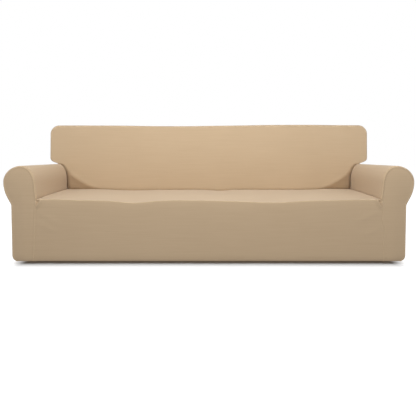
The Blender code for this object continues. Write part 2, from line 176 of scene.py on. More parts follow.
# The hem: how far its casing stands out, how far its stitches draw in and its foot rounds under
CASING_RISE = 0.0009
STITCH_DRAW = 0.0006
STITCH_WIDTH = 0.0013
FOOT_DRAW = 0.0012
FOOT_WIDTH = 0.0011
CASING_START = 0.003
CASING_EDGE = 0.002
CASING_TOP = 0.04  # no point above this height belongs to the hem

# About how long each run of an outline is, which sets how many rows it gets
INNER_RUN = 0.106
SHOULDER_RUN = 0.18
ROLL_RUN = 0.17
NECK_RUN = 0.17
SIDE_RUN = 0.33
EAR_CORNER_ROWS_RUN = 0.12
EAR_SIDE_RUN = 0.15
BAND_RUN = 0.18

# Rows beside a seam, as distances from it, and the heights of the rows along the hem
SEAM_STEPS = (0.0015, 0.0035, 0.0065)
HEM_HEIGHTS = (0.0, 0.001, 0.0025, 0.005, 0.009, 0.014, 0.018, 0.020, 0.022, 0.027, 0.035)
EDGE_ROWS = 8
HALF_CORNER_STEPS = 8
REAR_EDGE_ROWS = 6
ARM_FRONT_BAND = 0.012  # width of the finer rows along the seam of an arm front
ARM_FRONT_REACH = 0.100
FOOT_LEVEL = 0.03  # below this height an arm front's rows turn from upright to level
POINT_MERGE = 1e-5

# Place, width and height of the softboxes, and the tint of the overhead one
OVERHEAD_PLACE = (0.0, -1.2, 2.1)
FRONT_PLACE = (0.0, -2.6, 2.0)
SIDE_PLACE = (2.8, -0.6, 1.7)
REAR_PLACE = (0.0, 3.2, 2.2)
WIDE_BOX = (3.4, 1.0)
FRONT_BOX = (2.2, 1.0)
SQUARE_BOX = (1.2, 1.2)
WHITE = (1.0, 1.0, 1.0)
COOL_WHITE = (0.96, 1.0, 1.03)

# The level camera's film, in mm, and its shift, which puts the cover where the photo has it
SENSOR_WIDTH = 36.0
CAMERA_SHIFT = (-0.0019, -0.1454)

# Half sizes of the floor's painted shadow under the cover, where its painted glow is left out, and
# how far outside it the glow is full
SHADOW_PAINT_FOOTPRINT = (1.250, 0.456)
SHADOW_PAINT_FADE = 0.100


class CoverCloth(bpy.types.PropertyGroup):
    """How the cloth itself is cut and sewn."""

    thickness: FloatProperty(
        name="Cloth thickness", description="Thickness of the knit", default=0.0016, unit="LENGTH"
    )
    hem_extra: FloatProperty(
        name="Hem extra", description="What the turned hem adds", default=0.0014, unit="LENGTH"
    )
    hem_width: FloatProperty(
        name="Hem width", description="Height of the elastic hem", default=0.020, unit="LENGTH"
    )
    pucker: FloatProperty(
        name="Pucker", description="Unevenness beside the seams", default=0.0004, unit="LENGTH"
    )
    step: FloatProperty(
        name="Mesh step", description="Length of the faces", default=0.008, unit="LENGTH"
    )


class CoverFinish(bpy.types.PropertyGroup):
    """Colour and surface of the knit."""

    colour: StringProperty(name="Cloth", description="Colour of the yarn, sRGB", default="#BCA384")
    light_colour: StringProperty(
        name="Streaks", description="Colour of the lighter yarn, sRGB", default="#C0A788"
    )
    streak_height: FloatProperty(
        name="Streak height", description="Height of one streak", default=0.008, unit="LENGTH"
    )
    rib_pitch: FloatProperty(
        name="Rib pitch", description="Distance between two ribs", default=0.003, unit="LENGTH"
    )
    roughness: FloatProperty(name="Roughness", description="Of the yarn", default=0.9)
    gloss: FloatProperty(name="Gloss", description="Mirror-like share of the yarn", default=0.2)
    sheen: FloatProperty(name="Sheen", description="Fuzz seen at a flat angle", default=0.25)
    sheen_spread: FloatProperty(name="Sheen spread", description="Of the fuzz", default=0.5)


class CoverStudio(bpy.types.PropertyGroup):
    """Floor, lights and camera."""

    floor_colour: StringProperty(name="Floor", description="Colour, sRGB", default="#C0C0C0")
    # Strength of the floor's painted glow; it is left out under the cover, which paints the cover's
    # shadow there
    painted_floor_glow: FloatProperty(
        name="Floor glow", description="Light of the floor's own, away from the cover", default=0.8
    )
    floor_radius: FloatProperty(
        name="Floor radius", description="Radius of the floor", default=6.0, unit="LENGTH"
    )
    floor_drop: FloatProperty(
        name="Floor drop", description="Floor below the hem", default=0.019, unit="LENGTH"
    )
    sky: FloatProperty(name="Sky", description="Strength of the surround's light", default=0.495)
    overhead: FloatProperty(name="Overhead", description="Overhead softbox, watts", default=36.5)
    front: FloatProperty(name="Front", description="Front softbox, watts", default=11.5)
    side: FloatProperty(name="Sides", description="Each side softbox, watts", default=7.0)
    rear: FloatProperty(name="Rear", description="Rear softbox, watts", default=30.0)
    lens: FloatProperty(name="Lens", description="Focal length in mm", default=31.73)
    camera_place: FloatVectorProperty(
        name="Camera", description="Place of the camera", default=(0.0, -2.93, 0.7676)
    )


# ------------------------------------------------------------------ curves


def smooth(share):
    """Runs from 0 to 1 with level ends: 3 t^2 - 2 t^3 of the clipped share."""
    share = np.clip(share, 0.0, 1.0)
    return share * share * (3.0 - 2.0 * share)


def rise(x, folds):
    """Sum of bells exp(-((x - at) / width)^2), each times its rise."""
    return sum(f.rise * np.exp(-(((x - f.at) / f.width) ** 2)) for f in folds)


def shares_along(length, step, low=False, high=False):
    """Even shares from 0 to 1 about a step apart, closer beside a seam at the low or high end."""
    shares = np.linspace(0.0, 1.0, max(2, round(length / step)) + 1)[1:-1]
    near = np.array(SEAM_STEPS) / length
    if low:
        shares = np.concatenate([near, shares[shares > 1.6 * near[-1]]])
    if high:
        shares = np.concatenate([shares[shares < 1.0 - 1.6 * near[-1]], 1.0 - near[::-1]])
    return np.concatenate([[0.0], shares, [1.0]])


def bezier(points, shares):
    """Cubic curve through its first and last of four points, at the shares, the last left out."""
    t = shares[:-1, None]
    start, start_pull, end_pull, end = (np.array(p, float) for p in points)
    return (
        (1 - t) ** 3 * start
        + 3 * t * (1 - t) ** 2 * start_pull
        + 3 * t * t * (1 - t) * end_pull
        + t**3 * end
    )


def line(start, end, shares):
    """Straight run at the shares, the last left out."""
    t = shares[:-1, None]
    return np.array(start, float) * (1 - t) + np.array(end, float) * t


def left_normals(points):
    """Unit normals to the left of a flat curve, from its central differences."""
    along = np.gradient(points, axis=0)
    normals = np.stack([-along[:, 1], along[:, 0]], axis=1)
    return normals / np.linalg.norm(normals, axis=1, keepdims=True)


def patch(bottom, top, left, right):
    """Coons patch [column, row] between four edges: both ruled sheets less their common corners."""
    across = (bottom[:, 0] - bottom[0, 0]) / (bottom[-1, 0] - bottom[0, 0])
    up = (left[:, 2] - left[0, 2]) / (left[-1, 2] - left[0, 2])
    u = across[:, None, None]
    v = up[None, :, None]
    ruled = (1 - v) * bottom[:, None] + v * top[:, None]
    sides = (1 - u) * left[None] + u * right[None]
    low = (1 - u) * bottom[0] + u * bottom[-1]
    high = (1 - u) * top[0] + u * top[-1]
    return ruled + sides - (1 - v) * low - v * high


def arc_share(grid, axis):
    """Share of the way along each line of a grid, by length, from 0 to 1."""
    steps = np.linalg.norm(np.diff(grid, axis=axis), axis=2)
    lengths = np.concatenate([np.zeros_like(np.take(steps, [0], axis)), steps], axis=axis)
    run = np.cumsum(lengths, axis=axis)
    return run / np.take(run, [-1], axis)


# ------------------------------------------------------------------ surfaces


def hem_turn(z):
    """Cube of the share left below HEM_RISE, times how far the elastic draws the hem in."""
    return HEM_TURN * np.clip(1.0 - z / HEM_RISE, 0.0, 1.0) ** 3


def back_front(x, z):
    """Depth of the front of the back: lean, less its swelling, plus its two hollow corners.

    A corner's hollow is where (across / width)^p + (up / height)^p is below 1, and its
    upper edge has a low bell-shaped rim.
    """
    up = (z - SEAT_HEIGHT) / (TOP - SEAT_HEIGHT)
    swell = (1.0 - (x / BACK_HALF) ** 2) * np.sin(math.pi * np.clip(up, 0.0, 1.0))
    arm_foot = ARM_FOOT[0] + ARM_FLARE + FOOT_FLARE
    aside = np.clip((arm_foot - np.abs(x)) / RECESS_WIDTH, 0.0, None)
    above = np.clip((z - SEAT_HEIGHT) / RECESS_HEIGHT, 0.0, None)
    corner = aside**RECESS_POWER + above**RECESS_POWER
    inward = (RECESS_EDGE - corner) / RECESS_EDGE
    recess = (inward + np.sqrt(inward**2 + RECESS_SOFT**2)) / 2.0
    rim = np.exp(-(((corner - RECESS_EDGE) / RECESS_RIM_WIDTH) ** 2))
    rim = rim * smooth(aside / RECESS_RIM_START) * smooth(above / RECESS_RIM_START)
    lean = BACK_LEAN * up - BACK_SWELL * swell
    return BACK_FOOT + lean + RECESS_DEPTH * recess - RECESS_RIM * rim


def seat_height(x, share):
    """Height of the seat between its uneven front and rear edges, with a low crown."""
    front = SEAT_HEIGHT + rise(x, FRONT_EDGE_FOLDS)
    rear = SEAT_HEIGHT + rise(x, REAR_EDGE_FOLDS)
    crown = SEAT_CROWN * np.sin(math.pi * share)
    return front + (rear - front) * smooth(share) + crown


class Surfaces:
    """Every panel as grids of points, sharing the points of their seams."""

    def __init__(self, step):
        self.step = step
        self.edge_angles = np.linspace(0.0, math.pi / 2, EDGE_ROWS + 1)
        self.rear_angles = np.linspace(0.0, math.pi / 2, REAR_EDGE_ROWS + 1)[1:]
        self.seat_shares = shares_along(BACK_FOOT, step, high=True)
        self.front_steps = EDGE_ROWS + len(self.seat_shares) - 1
        half = ARM_FOOT[0] + ARM_FLARE + FOOT_FLARE
        self.columns = 2.0 * shares_along(2.0 * half, step, low=True, high=True) - 1.0
        self.outline = self.arm_outline()
        self.ear_shares = shares_along(EAR_CORNER_ROWS_RUN, step, low=True)
        self.ear_steps = len(self.ear_shares) - 1
        self.side_shares = shares_along(EAR_SIDE_RUN, step)
        self.ear_rows = self.ear_steps + len(self.side_shares) - 1 + HALF_CORNER_STEPS
        runs = np.linalg.norm(np.diff(self.outline, axis=0), axis=1)
        self.arm_run = np.concatenate([[0.0], np.cumsum(runs)])

    def arm_outline(self):
        """Outline of an arm as (out, height) rows: straight inside, three cubic curves, hem."""
        step = self.step
        inner = line(ARM_FOOT, ARM_INNER, shares_along(INNER_RUN, step, low=True))
        pulls = (
            (ARM_INNER[0] + SHOULDER_PULL[0], ARM_INNER[1] + SHOULDER_PULL[1]),
            (ARM_TOP[0] - TOP_PULL, ARM_TOP[1]),
        )
        shoulder = bezier((ARM_INNER, *pulls, ARM_TOP), shares_along(SHOULDER_RUN, step))
        pulls = ((ARM_TOP[0] + ROLL_PULL, ARM_TOP[1]), (ARM_ROLL[0], ARM_ROLL[1] + ROLL_PULL))
        roll = bezier((ARM_TOP, *pulls, ARM_ROLL), shares_along(ROLL_RUN, step, low=True))
        pulls = (
            (ARM_ROLL[0], ARM_ROLL[1] - UNDER_PULL),
            (ARM_NECK[0] + NECK_PULL[0], ARM_NECK[1] + NECK_PULL[1]),
        )
        neck = bezier((ARM_ROLL, *pulls, ARM_NECK), shares_along(NECK_RUN, step))
        side = line(ARM_NECK, ARM_SIDE, shares_along(SIDE_RUN, step))
        z = np.array((HEM_RISE, *HEM_HEIGHTS[::-1]))
        out = ARM_SIDE[0] + (ARM_HEM[0] - ARM_SIDE[0]) * hem_turn(z) / HEM_TURN
        self.inner_rows = len(inner)
        self.top_row = len(inner) + len(shoulder)
        return np.concatenate([inner, shoulder, roll, neck, side, np.stack([out, z], axis=1)])

    def arm_section(self, side, share, inset, foot_rise=0.0):
        """Outline of an arm flared and lowered by its share of the way back, drawn in by inset."""
        normals = left_normals(self.outline)
        normals[-1] = (1.0, 0.0)
        out, height = self.outline.T
        flare = np.clip((ARM_TOP[0] - out) / (ARM_TOP[0] - ARM_FOOT[0]), 0.0, 1.0)
        flare[self.top_row :] = 0.0
        raised = np.clip((height - SEAT_HEIGHT) / (ARM_TOP[1] - SEAT_HEIGHT), 0.0, 1.0)
        foot = np.clip((ARM_INNER[1] - height) / (ARM_INNER[1] - SEAT_HEIGHT), 0.0, 1.0)
        foot[self.inner_rows :] = 0.0
        flare = ARM_FLARE * flare + FOOT_FLARE * foot
        x = side * (out + flare * share - inset * normals[:, 0])
        z = height - ARM_DROP * raised * share - inset * normals[:, 1]
        z[-1] = 0.0
        return x, z + (seat_height(x[0], share) + foot_rise - z[0]) * foot

    def band_depths(self, face):
        """Depths over the top and ears: a quarter round, a level run and a quarter round."""
        rounding = face + BACK_EDGE_RADIUS * (1.0 - np.cos(self.edge_angles[:, None]))
        level = DEPTH - REAR_SWELL - REAR_EDGE - rounding[-1]
        share = shares_along(BAND_RUN, self.step)[1:, None]
        level = rounding[-1] + level * share
        rear = level[-1] + REAR_EDGE * np.sin(self.rear_angles[:, None])
        return np.concatenate([rounding, level, rear])

    def rear_insets(self):
        """How far each row of the rear quarter round is drawn in."""
        return REAR_INSET * (1.0 - np.cos(self.rear_angles))

    def arm_grids(self, side):
        """Inner and outer grids [station, row] of one arm, side -1 left or 1 right."""
        stations = []
        for row, angle in enumerate(self.edge_angles[:-1]):
            fall = SEAT_EDGE_RADIUS * (1.0 - math.sin(angle))
            x, z = self.arm_section(side, 0.0, ARM_LIP * math.cos(angle), -fall)
            depth = FRONT_SETBACK + SEAT_EDGE_RADIUS * (1.0 - math.cos(angle))
            stations.append((x, depth + hem_turn(z) * (1.0 - row / EDGE_ROWS), z))
        start = FRONT_SETBACK + SEAT_EDGE_RADIUS
        end = back_front(*self.arm_section(side, 1.0, 0.0))
        end[self.top_row :] = end[self.top_row]
        for share in self.seat_shares:
            x, z = self.arm_section(side, share, 0.0)
            stations.append((x, start + (end - start) * share, z))
        depths = self.band_depths(end[self.top_row])[1:, 0]
        for depth in depths[:-REAR_EDGE_ROWS]:
            stations.append((x, np.full_like(x, depth), z))
        drawn = smooth((self.arm_run - self.arm_run[self.top_row]) / EAR_CORNER_RUN)
        for inset, depth in zip(self.rear_insets(), depths[-REAR_EDGE_ROWS:]):
            x, z = self.arm_section(side, 1.0, inset * drawn)
            stations.append((x, depth - hem_turn(z) * inset / REAR_INSET, z))
        grid = np.array([np.stack(station, axis=1) for station in stations])
        return grid[: self.front_steps + 1, : self.top_row + 1], grid[:, self.top_row :]

    def seat_grid(self, arm_feet):
        """Front and seat [column, row]: upright skirt, quarter round, then the sagging seat."""
        left, right = arm_feet
        u = self.columns
        feet = np.where((u < 0)[:, None], -left[:, 0], right[:, 0])
        front_x = u * feet[:, 0]
        front_z = seat_height(front_x, 0.0) - SEAT_EDGE_RADIUS
        heights = [np.full_like(u, z) for z in HEM_HEIGHTS]
        for share in shares_along(SEAT_HEIGHT - HEM_RISE, self.step)[:-1]:
            heights.append(HEM_RISE + (front_z - HEM_RISE) * share)
        self.corner_row = len(heights)
        rows = []
        for z in heights:
            half = FRONT_HALF_AT_HEM + (feet[:, 0] - FRONT_HALF_AT_HEM) * z / front_z
            rows.append((u * half, FRONT_SETBACK + hem_turn(z), z))
        rear_x = u * feet[:, -1]
        end = back_front(rear_x, seat_height(rear_x, 1.0))
        for row, angle in enumerate(self.edge_angles[:-1]):
            x = u * feet[:, row]
            depth = FRONT_SETBACK + SEAT_EDGE_RADIUS * (1.0 - math.cos(angle)) + 0.0 * x
            height = seat_height(x, 0.0) - SEAT_EDGE_RADIUS * (1.0 - math.sin(angle))
            rows.append((x, depth, height))
        start = FRONT_SETBACK + SEAT_EDGE_RADIUS
        for row, share in enumerate(self.seat_shares):
            x = u * feet[:, EDGE_ROWS + row]
            rows.append((x, start + (end - start) * share, seat_height(x, share)))
        return np.stack([np.stack(row, axis=1) for row in rows], axis=1)

    def back_outline(self):
        """Outline of the back above the arms: cubic corners, sides, quarter rounds and top."""
        start = np.array((ARM_TOP[0], ARM_TOP[1] - ARM_DROP))
        ear = np.array((BACK_HALF, start[1] + EAR_CORNER_HEIGHT))
        slope = math.radians(EAR_CORNER_SLOPE)
        pull = EAR_CORNER_PULL * EAR_CORNER_HEIGHT
        away = start + pull * np.array((math.cos(slope), math.sin(slope)))
        corner = bezier((start, away, ear - (0.0, pull), ear), self.ear_shares)
        centre = (BACK_HALF + BACK_FLARE - TOP_CORNER_RADIUS, TOP - TOP_CORNER_RADIUS)
        side = line(ear, (BACK_HALF + BACK_FLARE, centre[1]), self.side_shares)
        angle = np.linspace(0.0, math.pi / 2, 2 * HALF_CORNER_STEPS + 1)[:-1]
        turn = np.stack([np.cos(angle), np.sin(angle)], axis=1) * TOP_CORNER_RADIUS + centre
        right = np.concatenate([corner, side, turn])
        x = self.columns[HALF_CORNER_STEPS : len(self.columns) - HALF_CORNER_STEPS]
        x = x / x[-1] * centre[0]
        top = np.stack([x, np.full_like(x, TOP)], axis=1)
        outline = np.concatenate([right * (-1.0, 1.0), top, right[::-1]])
        lift = smooth((outline[:, 1] - TOP + TOP_CORNER_RADIUS) / TOP_CORNER_RADIUS)
        outline[:, 1] += rise(outline[:, 0], TOP_EDGE_FOLDS) * lift
        return outline

    def band_grid(self):
        """Ears and top [place, row]: the outline carried back, drawn in at its two roundings."""
        outline = self.back_outline()
        normals = left_normals(outline)
        weight = np.ones((len(outline), 1))
        weight[: self.ear_steps + 1, 0] = smooth(self.ear_shares)
        weight = np.minimum(weight, weight[::-1])
        face_edge = outline - weight * BACK_EDGE_RADIUS * normals
        depths = self.band_depths(back_front(face_edge[:, 0], face_edge[:, 1]))
        insets = np.zeros(len(depths))
        insets[: EDGE_ROWS + 1] = BACK_EDGE_RADIUS * (1.0 - np.sin(self.edge_angles))
        insets[-REAR_EDGE_ROWS:] = self.rear_insets()
        place = outline[:, None] - (weight * normals)[:, None] * insets[:, None]
        return np.stack([place[..., 0], depths.T, place[..., 1]], axis=2)

    def split_loop(self, edge):
        """Left, top and right runs of an edge that climbs, crosses and comes down again."""
        rows = self.ear_rows
        return edge[: rows + 1], edge[rows : len(edge) - rows], edge[::-1][: rows + 1]

    def face_grid(self, tuck, arm_ends, band_edge):
        """Front of the back [column, row], down to the tuck and out to the arms and ears."""
        left, top, right = self.split_loop(band_edge)
        left = np.concatenate([arm_ends[0][:-1], left])
        right = np.concatenate([arm_ends[1][:-1], right])
        grid = patch(tuck, top, left, right)
        inside = grid[1:-1, 1:-1]
        inside[..., 1] = back_front(inside[..., 0], inside[..., 2])
        return grid

    def rear_grid(self, arm_rears, band_edge):
        """Outside back [column, row], swollen by 1 less a high power of the way from its middle."""
        left, top, right = self.split_loop(band_edge)
        left = np.concatenate([arm_rears[0][::-1][:-1], left])
        right = np.concatenate([arm_rears[1][::-1][:-1], right])
        u = (self.columns + 1.0)[:, None] / 2.0
        grid = patch(left[0] * (1.0 - u) + right[0] * u, top, left, right)
        grid[..., 1] += REAR_SWELL * swelling(grid, SQUARE_SWELL)
        return grid

    def arm_front_grids(self, side, skirt_edge, arm_edge):
        """Front of one arm: a band [place, step] along its seam, and a patch [column, row] in it.

        It is crowned by 1 - (1 - distance / reach)^2 of the distance to the seam.
        """
        seam = np.concatenate([skirt_edge[:-1], arm_edge])
        inward = -side * left_normals(seam[:, ::2])
        inward[:, 1] *= smooth(seam[:, 2] / FOOT_LEVEL)
        inward /= np.linalg.norm(inward, axis=1, keepdims=True)
        away = np.array((0.0, *SEAM_STEPS, ARM_FRONT_BAND))
        flat = seam[:, None, ::2] + inward[:, None] * away[:, None]
        band = np.stack([flat[..., 0], flat[..., 0], flat[..., 1]], axis=2)
        ring = band[:, -1]
        columns = round(abs(ring[0, 0] - ring[-1, 0]) / self.step)
        columns += (len(ring) - 1 - columns) % 2
        climb = (len(ring) - 1 - columns) // 2
        u = np.linspace(0.0, 1.0, columns + 1)[:, None]
        bottom = ring[0] * (1.0 - u) + ring[-1] * u
        inside = patch(bottom, ring[climb : climb + columns + 1], ring[: climb + 1],
                       ring[::-1][: climb + 1])
        for grid in (band, inside):
            gaps = grid[..., None, ::2] - seam[:, ::2]
            near = np.linalg.norm(gaps, axis=3).min(axis=2)
            crown = 1.0 - (1.0 - np.clip(near / ARM_FRONT_REACH, 0.0, 1.0)) ** ARM_FRONT_SWELL
            grid[..., 1] = FRONT_SETBACK - ARM_FRONT_CROWN * crown + hem_turn(grid[..., 2])
        band[:, 0] = seam
        return band[::side], inside[::side]

    def panels(self):
        """Each panel's grids, turned so that columns cross rows with the outside facing out."""
        arms = {side: self.arm_grids(side) for side in (-1, 1)}
        seat = self.seat_grid([arms[side][0][:, 0] for side in (-1, 1)])
        band = self.band_grid()
        ends = [arms[side][0][-1] for side in (-1, 1)]
        face = self.face_grid(seat[:, -1], ends, band[:, 0])
        rear = self.rear_grid([arms[side][1][-1] for side in (-1, 1)], band[:, -1])
        grids = {
            "seat_and_front": [seat],
            "inside_back": [face, band],
            "outside_back": [rear[::-1]],
        }
        for side, word, column in ((-1, "left", 0), (1, "right", -1)):
            inner, outer = arms[side]
            arm_edge = np.concatenate([inner[0], outer[0][1:]])
            skirt_edge = seat[column, : self.corner_row + 1]
            turned = [grid.transpose(1, 0, 2)[::side] for grid in (inner, outer)]
            grids["arm_" + word] = turned
            grids["arm_front_" + word] = self.arm_front_grids(side, skirt_edge, arm_edge)
        return grids


def swelling(grid, power):
    """1 in the middle of a grid and 0 at its sides and top, by powers of the way along."""
    across = 1.0 - np.abs(2.0 * arc_share(grid, 0) - 1.0) ** power
    return across * (1.0 - arc_share(grid, 1) ** SQUARE_SWELL)


# ------------------------------------------------------------------ seams, creases and hem


def grid_normals(grid):
    """Unit cross product of the central differences along both ways of a grid."""
    normals = np.cross(np.gradient(grid, axis=0), np.gradient(grid, axis=1))
    return normals / np.maximum(np.linalg.norm(normals, axis=2, keepdims=True), 1e-12)


def merged(points):
    """For each point the number of its merged point, and the first of each merged point."""
    keys = np.round(points / POINT_MERGE).astype(np.int64)
    _, first, number = np.unique(keys, axis=0, return_index=True, return_inverse=True)
    return number.ravel(), first


def spread_rows(points, reach, source):
    """Passes each row's distance on to its neighbours, one way and back, where that is nearer."""
    rows = len(reach)
    order = [(i, i - 1) for i in range(1, rows)] + [(i, i + 1) for i in range(rows - 2, -1, -1)]
    for row, last in order:
        way = reach[last] + np.linalg.norm(points[row] - points[last], axis=1)
        closer = way < reach[row]
        reach[row] = np.where(closer, way, reach[row])
        source[row] = np.where(closer, source[last], source[row])


def nearest_seam(points, shapes, number, on_seam):
    """Distance of each point along the cloth to the nearest seam point, and that point's index.

    The distance spreads along the rows and columns of each grid, and then from grid to
    grid through the points that they share.
    """
    reach = np.where(on_seam, 0.0, np.inf)
    source = np.arange(len(points))
    for _ in range(3):
        begin = 0
        for shape in shapes:
            part = slice(begin, begin + shape[0] * shape[1])
            begin = part.stop
            grid = points[part].reshape(*shape, 3)
            far, near = reach[part].reshape(shape), source[part].reshape(shape)
            spread_rows(grid, far, near)
            spread_rows(grid.transpose(1, 0, 2), far.T, near.T)
        order = np.lexsort((reach, number))
        first = order[np.searchsorted(number[order], np.arange(number.max() + 1))]
        reach, source = reach[first][number], source[first][number]
    return reach, source


def seam_sizes(pairs, kinds, count):
    """Depth and half width of the groove at each merged point, averaged along the seams."""
    order = pairs[:, 0]
    sizes = np.zeros((count, 2))
    shared = np.flatnonzero(order[1:] == order[:-1])
    for at in shared:
        names = tuple(sorted((kinds[pairs[at, 1]], kinds[pairs[at + 1, 1]])))
        if names in GROOVES:
            sizes[order[at]] = np.maximum(sizes[order[at]], GROOVES[names])
    return sizes[:, 0], np.maximum(sizes[:, 1], 1e-3)


def crease_height(points):
    """Sum of creases: a bell across each straight run, times the root of a sine along it."""
    height = np.zeros(len(points))
    for crease in CREASES:
        start, end = np.array(crease.start), np.array(crease.end)
        along = end - start
        share = np.clip((points - start) @ along / (along @ along), 0.0, 1.0)
        away = np.linalg.norm(points - start - share[:, None] * along, axis=1)
        bell = np.exp(-((away / crease.width) ** 2))
        height += crease.height * bell * np.sqrt(np.sin(math.pi * np.clip(share, 0.04, 0.96)))
    return height


def edge_dip(points):
    """Dip under the seat's front edge: the square of the share left, fading back over the seat."""
    x, s, z = points.T
    below = np.clip(1.0 - (seat_height(x, 0.0) - z) / DIP_HEIGHT, 0.0, 1.0)
    behind = np.clip(1.0 - (s - FRONT_SETBACK) / DIP_REACH, 0.0, 1.0)
    within = smooth((ARM_FOOT[0] - np.abs(x)) / DIP_HEIGHT)
    return -EDGE_DIP * below**2 * behind * within * (z < SEAT_HEIGHT + DIP_TOP)


def waves(points, length, seed):
    """Uneven ripples of about that length, between -1 and 1: three sines in fixed directions."""
    random = np.random.default_rng(seed)
    total = np.zeros(len(points))
    for _ in range(3):
        way = random.normal(size=3)
        way *= 2.0 * math.pi / length / np.linalg.norm(way)
        total += np.sin(points @ way + random.uniform(0.0, 2.0 * math.pi))
    return total / 3.0


def hem_profile(z, width):
    """Outward step of the hem: a full casing below its stitch line, rounded under at its foot."""
    casing = CASING_RISE * smooth((width - z) / CASING_EDGE) * smooth(z / CASING_START)
    stitch = -STITCH_DRAW * np.exp(-(((z - width) / STITCH_WIDTH) ** 2))
    foot = -FOOT_DRAW * np.exp(-((z / FOOT_WIDTH) ** 2))
    return casing + stitch + foot


def sewn_panels(cloth):
    """Each panel's points, normals, thickness, cloth coordinates and quads, as sewn."""
    surfaces = Surfaces(cloth.step)
    grids = surfaces.panels()
    flat = [(name, grid) for name in grids for grid in grids[name]]
    points = np.concatenate([grid.reshape(-1, 3) for _, grid in flat])
    owners = np.concatenate([
        np.full(grid.shape[0] * grid.shape[1], list(grids).index(name)) for name, grid in flat
    ])
    number, _ = merged(points)
    summed = np.zeros((number.max() + 1, 3))
    raw = np.concatenate([grid_normals(grid).reshape(-1, 3) for _, grid in flat])
    np.add.at(summed, number, raw)
    summed /= np.linalg.norm(summed, axis=1, keepdims=True)
    normals = summed[number]
    pairs = np.unique(np.stack([number, owners], axis=1), axis=0)
    on_seam = (np.bincount(pairs[:, 0]) > 1)[number]
    kinds = [name.removesuffix("_left").removesuffix("_right") for name in grids]
    depth, width = seam_sizes(pairs, kinds, number.max() + 1)

    shapes = [grid.shape[:2] for _, grid in flat]
    reach, nearest = nearest_seam(points, shapes, number, on_seam)

    hollow = -depth[number[nearest]] * np.exp(-((reach / width[number[nearest]]) ** 2))
    lift = SEAM_LIFT * np.exp(-(((reach - SEAM_LIFT_PLACE) / SEAM_LIFT_WIDTH) ** 2))
    beside = np.exp(-((reach / PUCKER_FAR) ** 2)) - np.exp(-((reach / PUCKER_NEAR) ** 2))
    seam_place = points[nearest]
    pucker = cloth.pucker * beside * waves(seam_place, PUCKER_LENGTH, PUCKER_SEED)
    moved = points + normals[nearest] * hollow[:, None]
    soft = SOFT_HEIGHT * waves(points, SOFT_LENGTH, SOFT_SEED) * smooth(reach / SOFT_START)
    height = crease_height(points) + edge_dip(points) + soft + pucker + lift
    moved += normals * height[:, None]
    level = normals * (1.0, 1.0, 0.0)
    level /= np.maximum(np.linalg.norm(level, axis=1, keepdims=True), 1e-6)
    casing = hem_profile(points[:, 2], cloth.hem_width)[:, None]
    moved += level * casing * (points[:, 2:] < CASING_TOP)
    moved[:, 2] = np.maximum(moved[:, 2], 0.0)
    moved[:, 1] -= DEPTH / 2.0
    in_hem = smooth((cloth.hem_width - points[:, 2]) / CASING_EDGE)
    thickness = cloth.thickness + cloth.hem_extra * in_hem

    panels = {}
    begin = 0
    for name in grids:
        parts, quads = [], []
        coordinates = []
        for grid in grids[name]:
            count = grid.shape[0] * grid.shape[1]
            ids = np.arange(begin, begin + count).reshape(grid.shape[:2])
            parts.append(ids.ravel())
            corners = (ids[:-1, :-1], ids[1:, :-1], ids[1:, 1:], ids[:-1, 1:])
            quads.append(np.stack(corners, axis=-1).reshape(-1, 4))
            coordinates.append(cloth_coordinates(surfaces, name, grid))
            begin += count
        ids = np.concatenate(parts)
        lookup, first = merged(points[ids])
        remap = np.zeros(begin, np.int64)
        remap[ids] = lookup
        keep = ids[first]
        panels[name] = {
            "points": moved[keep],
            "normals": normals[keep],
            "thickness": thickness[keep],
            "cloth": np.concatenate(coordinates)[first],
            "quads": remap[np.concatenate(quads)],
        }
    return panels


def cloth_coordinates(surfaces, name, grid):
    """Place of each point on the flat cloth, in metres: across and up, unrolled round the edges."""
    x, s, z = grid[..., 0], grid[..., 1], grid[..., 2]
    if name == "seat_and_front":
        steps = np.linalg.norm(np.diff(grid, axis=1), axis=2).mean(axis=0)
        across, up = x, np.concatenate([[0.0], np.cumsum(steps)])
    elif name in ("arm_left", "arm_right"):
        inner = grid.shape[0] == surfaces.top_row + 1
        run = surfaces.arm_run
        run = run[: surfaces.top_row + 1] if inner else run[surfaces.top_row :]
        across, up = s, (run if name == "arm_right" else run[::-1])[:, None]
    elif name == "inside_back":
        behind = np.clip(s - back_front(x, z), 0.0, None)
        ear = smooth((np.abs(x) - BACK_HALF + 0.06) / 0.05)
        ear = ear * smooth((TOP - TOP_CORNER_RADIUS / 3 - z) / 0.03)
        across, up = x + np.sign(x) * behind * ear, z + behind * (1.0 - ear)
    else:
        across, up = x, z
    return np.stack(np.broadcast_arrays(across, up), axis=-1).reshape(-1, 2)


def closed_sheet(panel):
    """Points and quads of the panel's outside, its inside a thickness in, and the rim between."""
    outside, quads = panel["points"], panel["quads"]
    inside = outside - panel["normals"] * panel["thickness"][:, None]
    inside[:, 2] = np.maximum(inside[:, 2], 0.0)
    count = len(outside)
    edges = np.stack([quads, np.roll(quads, -1, axis=1)], axis=-1).reshape(-1, 2)
    _, place, times = np.unique(
        np.sort(edges, axis=1), axis=0, return_index=True, return_counts=True
    )
    start, end = edges[place[times == 1]].T
    rim = np.stack([end, start, start + count, end + count], axis=1)
    faces = np.concatenate([quads, quads[:, ::-1] + count, rim])
    return np.concatenate([outside, inside]), faces


